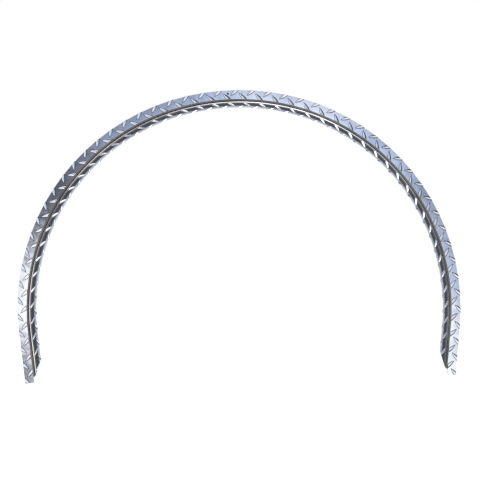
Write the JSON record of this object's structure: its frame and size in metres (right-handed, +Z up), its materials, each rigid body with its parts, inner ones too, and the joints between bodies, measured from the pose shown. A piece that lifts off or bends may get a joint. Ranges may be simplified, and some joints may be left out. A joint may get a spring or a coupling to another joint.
{
  "type": "trailer mudguard",
  "caption": "Arched trailer mudguard trim of bright tread plate: a narrow flat face and a flange folded back along its inner edge, with slanted flange ends and a small screw hole near the crown.",
  "frame": {"origin": "on the back of the face, the plane that lies on the trailer's wall, at the middle of the face's flat at the top of the arch", "axes": "+X to the right across the arch, +Z up, +Y back from the face into the wheel space, so the tread side of the face looks along -Y"},
  "size_m": [0.9162, 0.0267, 0.5985],
  "materials": {
    "tread_plate": "bright mill finish with raised lugs"
  },
  "bodies": {
    "root": {"mudguard": "tread_plate"}
  },
  "joints": []
}
